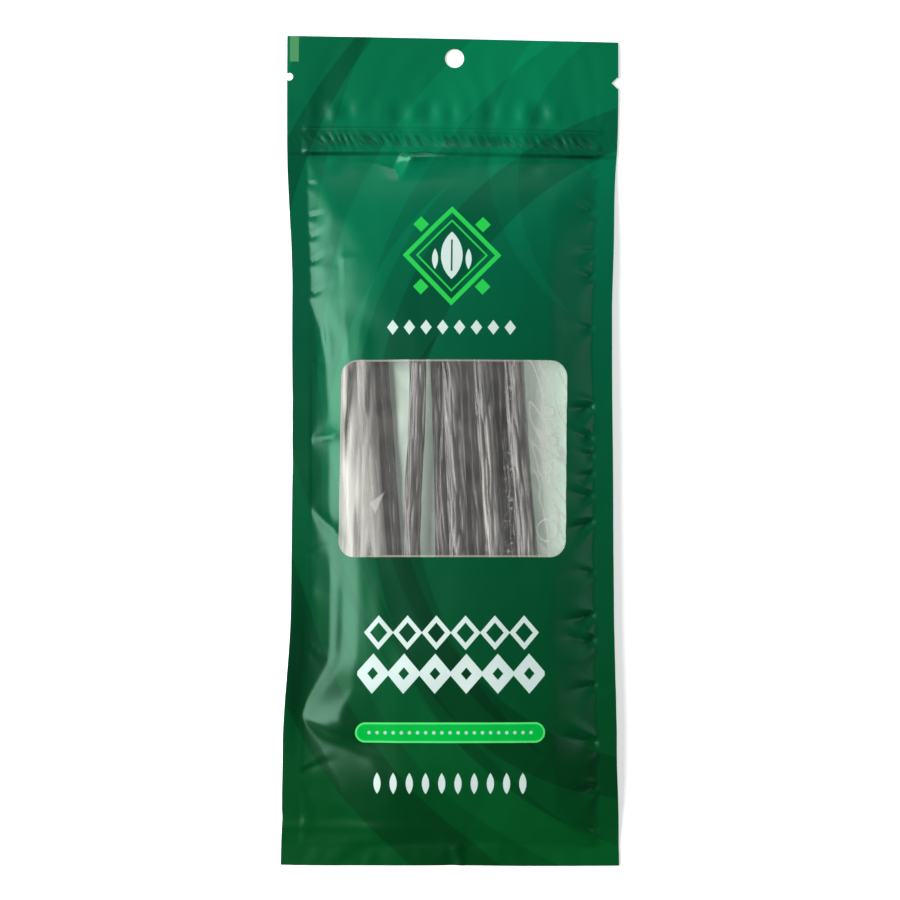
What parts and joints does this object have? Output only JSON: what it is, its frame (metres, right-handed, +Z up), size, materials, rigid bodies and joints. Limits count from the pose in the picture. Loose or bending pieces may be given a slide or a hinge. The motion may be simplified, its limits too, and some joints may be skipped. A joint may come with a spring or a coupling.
{
  "type": "pouch of vanilla pods",
  "caption": "Flat zip pouch with heat sealed edges, a hang hole, tear notches and a clear window, holding long wrinkled vanilla pods.",
  "frame": {"origin": "on the surface that the pouch lies on, under the centre of its outline", "axes": "+Y runs to the pouch's top with the hang hole, +X to the right of its printed front and +Z up, out of the front"},
  "size_m": [0.11, 0.272, 0.0124],
  "materials": {
    "printed_film": "satin printed film, deep green with tonal bands",
    "clear_film": "clear, slightly milky film",
    "pod_skin": "dark brown, oily, wrinkled lengthwise"
  },
  "bodies": {
    "root": {"pouch": "printed_film", "window_film": "clear_film", "pod_01": "pod_skin", "pod_02": "pod_skin", "pod_03": "pod_skin", "pod_04": "pod_skin", "pod_05": "pod_skin", "pod_06": "pod_skin", "pod_07": "pod_skin", "pod_08": "pod_skin", "pod_09": "pod_skin", "pod_10": "pod_skin"}
  },
  "joints": []
}
